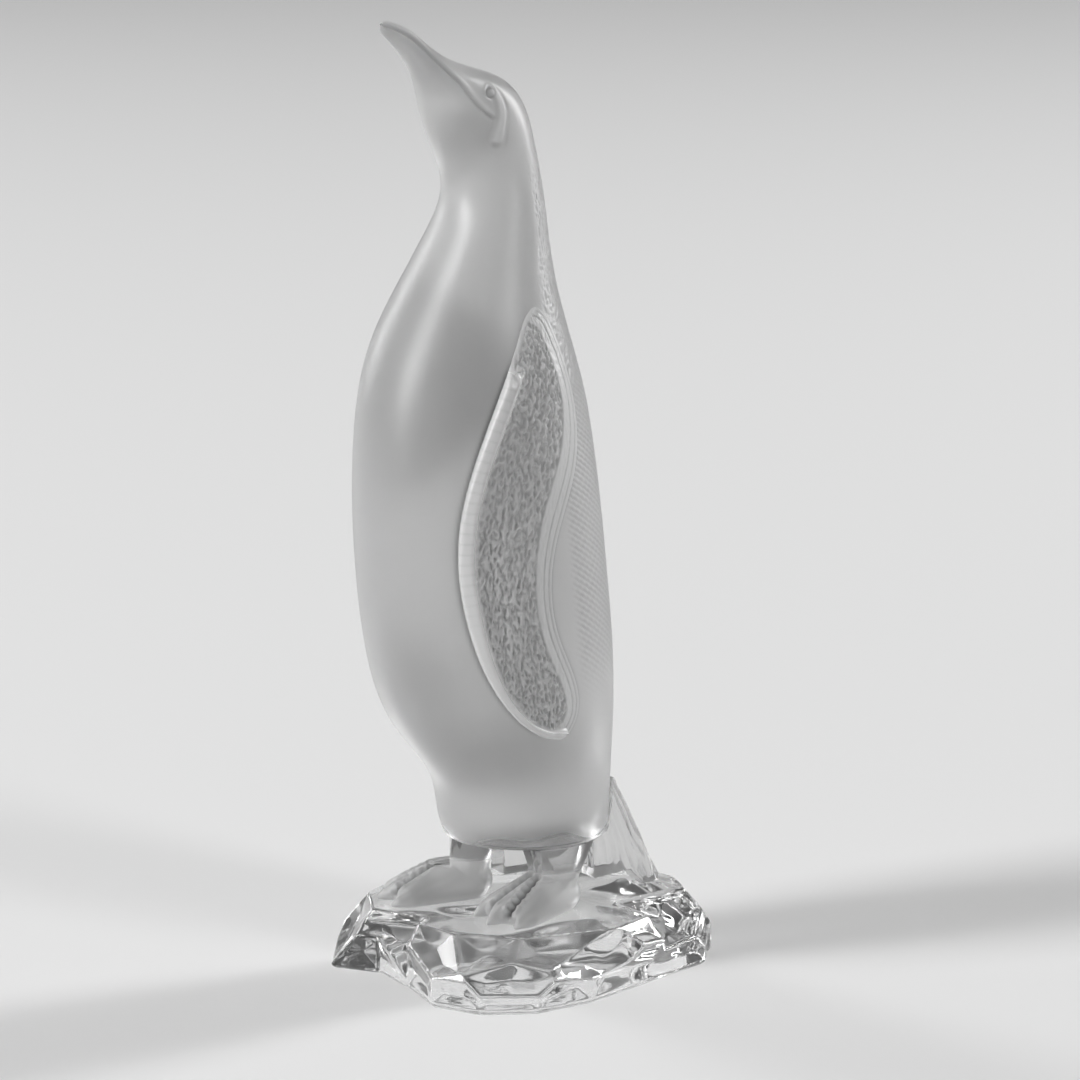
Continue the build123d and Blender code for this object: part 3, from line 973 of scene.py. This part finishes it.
def ice_hollows(points):
    """Depth of the hollows at each point of the ice, with none where the feet stand."""
    waver = np.stack([roughness_field(points, HOLLOW_WAVER_SIZE, seed) for seed in HOLLOW_SEEDS], axis=-1)
    warped = points[:, :2] + HOLLOW_WAVER * waver
    hollow = np.zeros(len(points))
    for x, y, reach, depth in ICE_HOLLOWS:
        away = np.hypot(warped[:, 0] - x, warped[:, 1] - y) / reach
        hollow = np.maximum(hollow, depth * np.clip(1 - away ** 2, 0, 1))
    for x, y, turn in FOOT_STANDS.values():
        toes = (x + TREAD_LENGTH * sin(radians(turn)), y - TREAD_LENGTH * cos(radians(turn)))
        hollow = hollow * ramp(path_distance(points[:, :2], ((x, y), toes))[0], *TREAD_EDGE)
    return hollow


scoops = [stretched_round(((*start, radius), (*end, radius)), SCOOP_FINENESS)
          for start, end, radius in ICE_SCOOPS]
ice_shape = node_shape("ice_base")
ice_points, ice_normals, ice_faces = remeshed(*ice_shape, ICE_GRAIN, ICE_RELAXING, cutters=scoops)
ridges = ridge_tree("ice_base")
from_ridge = np.array([ridges.find(Vector(point))[2] for point in ice_points])
sloping = 1 - ramp(np.abs(ice_normals[:, 2]), *ICE_LEVEL_STEP)
dish = ICE_DISH * ramp(from_ridge, 0, ICE_DISH_REACH) * sloping
ice_top = ramp(ice_normals[:, 2], *ICE_TOP_STEP)
from_ledge, ledge_side, _ = path_distance(ice_points[:, :2], rounded(ICE_LEDGE))
ledge = ICE_LEDGE_DROP * ramp(-from_ledge * ledge_side, *ICE_LEDGE_STEP)
ice_cut = dish + (ledge + ice_hollows(ice_points)) * ice_top
ice_points = ice_points - ice_normals * ice_cut[:, None]
ice_piece = new_piece("clear_ice_base", ice_points, ice_faces, clear, "clear_crystal",
                      "ice_base", "sole_bonds", polish=1 - ICE_TOP_SATIN * ice_top)

# The floor under the ice is lit as if the ice weren't there, so it is neither dark nor lit twice
ice_piece.visible_shadow = False
ice_piece.visible_diffuse = False


# Floor, matte

floor_mesh = bpy.data.meshes.new("floor")
floor_corners = [(x * FLOOR_REACH, y * FLOOR_REACH, FLOOR) for x, y in ((-1, -1), (1, -1), (1, 1), (-1, 1))]
floor_mesh.from_pydata(floor_corners, [], [(0, 1, 2, 3)])
floor = bpy.data.objects.new("floor", floor_mesh)
bpy.context.scene.collection.objects.link(floor)
paper = bpy.data.materials.new("floor_paper")
paper.use_nodes = True
paper_surface = paper.node_tree.nodes["Principled BSDF"]
paper_surface.inputs["Base Color"].default_value = (FLOOR_GREY, FLOOR_GREY, FLOOR_GREY, 1)
paper_surface.inputs["Roughness"].default_value = 1.0
paper_surface.inputs["Specular IOR Level"].default_value = 0.0
floor_mesh.materials.append(paper)


# Sky

world = bpy.data.worlds.new("studio")
world.use_nodes = True
sky_tree = world.node_tree
sky = sky_tree.nodes["Background"]
sky.inputs["Color"].default_value = (1.0, 1.0, 1.0, 1)
direction = sky_tree.nodes.new("ShaderNodeTexCoord")
upward = sky_tree.nodes.new("ShaderNodeSeparateXYZ")
sky_tree.links.new(direction.outputs["Generated"], upward.inputs["Vector"])
sky_strength = mapped(sky_tree, upward.outputs["Z"], (SKY_LOW, SKY_HIGH), starts=SKY_BAND)
sky_tree.links.new(sky_strength, sky.inputs["Strength"])
bpy.context.scene.world = world


# Lamps

def outward(azimuth, elevation):
    """The way out from the penguin; azimuth is counted in degrees from its front toward its left."""
    turn, climb = radians(azimuth), radians(elevation)
    return Vector((cos(climb) * sin(turn), -cos(climb) * cos(turn), sin(climb)))


def softbox(name, azimuth, elevation, distance, width, height, power):
    """A soft lamp that looks at the penguin's chest."""
    away = outward(azimuth, elevation)
    lamp = bpy.data.lights.new(name, "AREA")
    lamp.shape = "RECTANGLE"
    lamp.size = width
    lamp.size_y = height
    lamp.energy = power
    holder = bpy.data.objects.new(name, lamp)
    holder.location = AIM + away * distance
    holder.rotation_euler = away.to_track_quat("Z", "Y").to_euler()
    holder.visible_camera = False
    bpy.context.scene.collection.objects.link(holder)


for lamp_name, placing in LAMPS.items():
    softbox(lamp_name, *placing)


# Camera

right = Vector((cos(radians(CAMERA_AZIMUTH)), sin(radians(CAMERA_AZIMUTH)), 0))
backward = outward(CAMERA_AZIMUTH, CAMERA_ELEVATION)
up = backward.cross(right)
target = AIM + CAMERA_RIGHT * right - CAMERA_DOWN * up
lens = bpy.data.cameras.new("photo_camera")
lens.lens = CAMERA_LENS
lens.sensor_width = CAMERA_SENSOR
camera = bpy.data.objects.new("photo_camera", lens)
facing = Matrix((right, up, backward)).transposed().to_4x4()
camera.matrix_world = Matrix.Translation(target + CAMERA_DISTANCE * backward) @ facing
bpy.context.scene.collection.objects.link(camera)
bpy.context.scene.camera = camera
bpy.context.scene.view_settings.view_transform = "Standard"
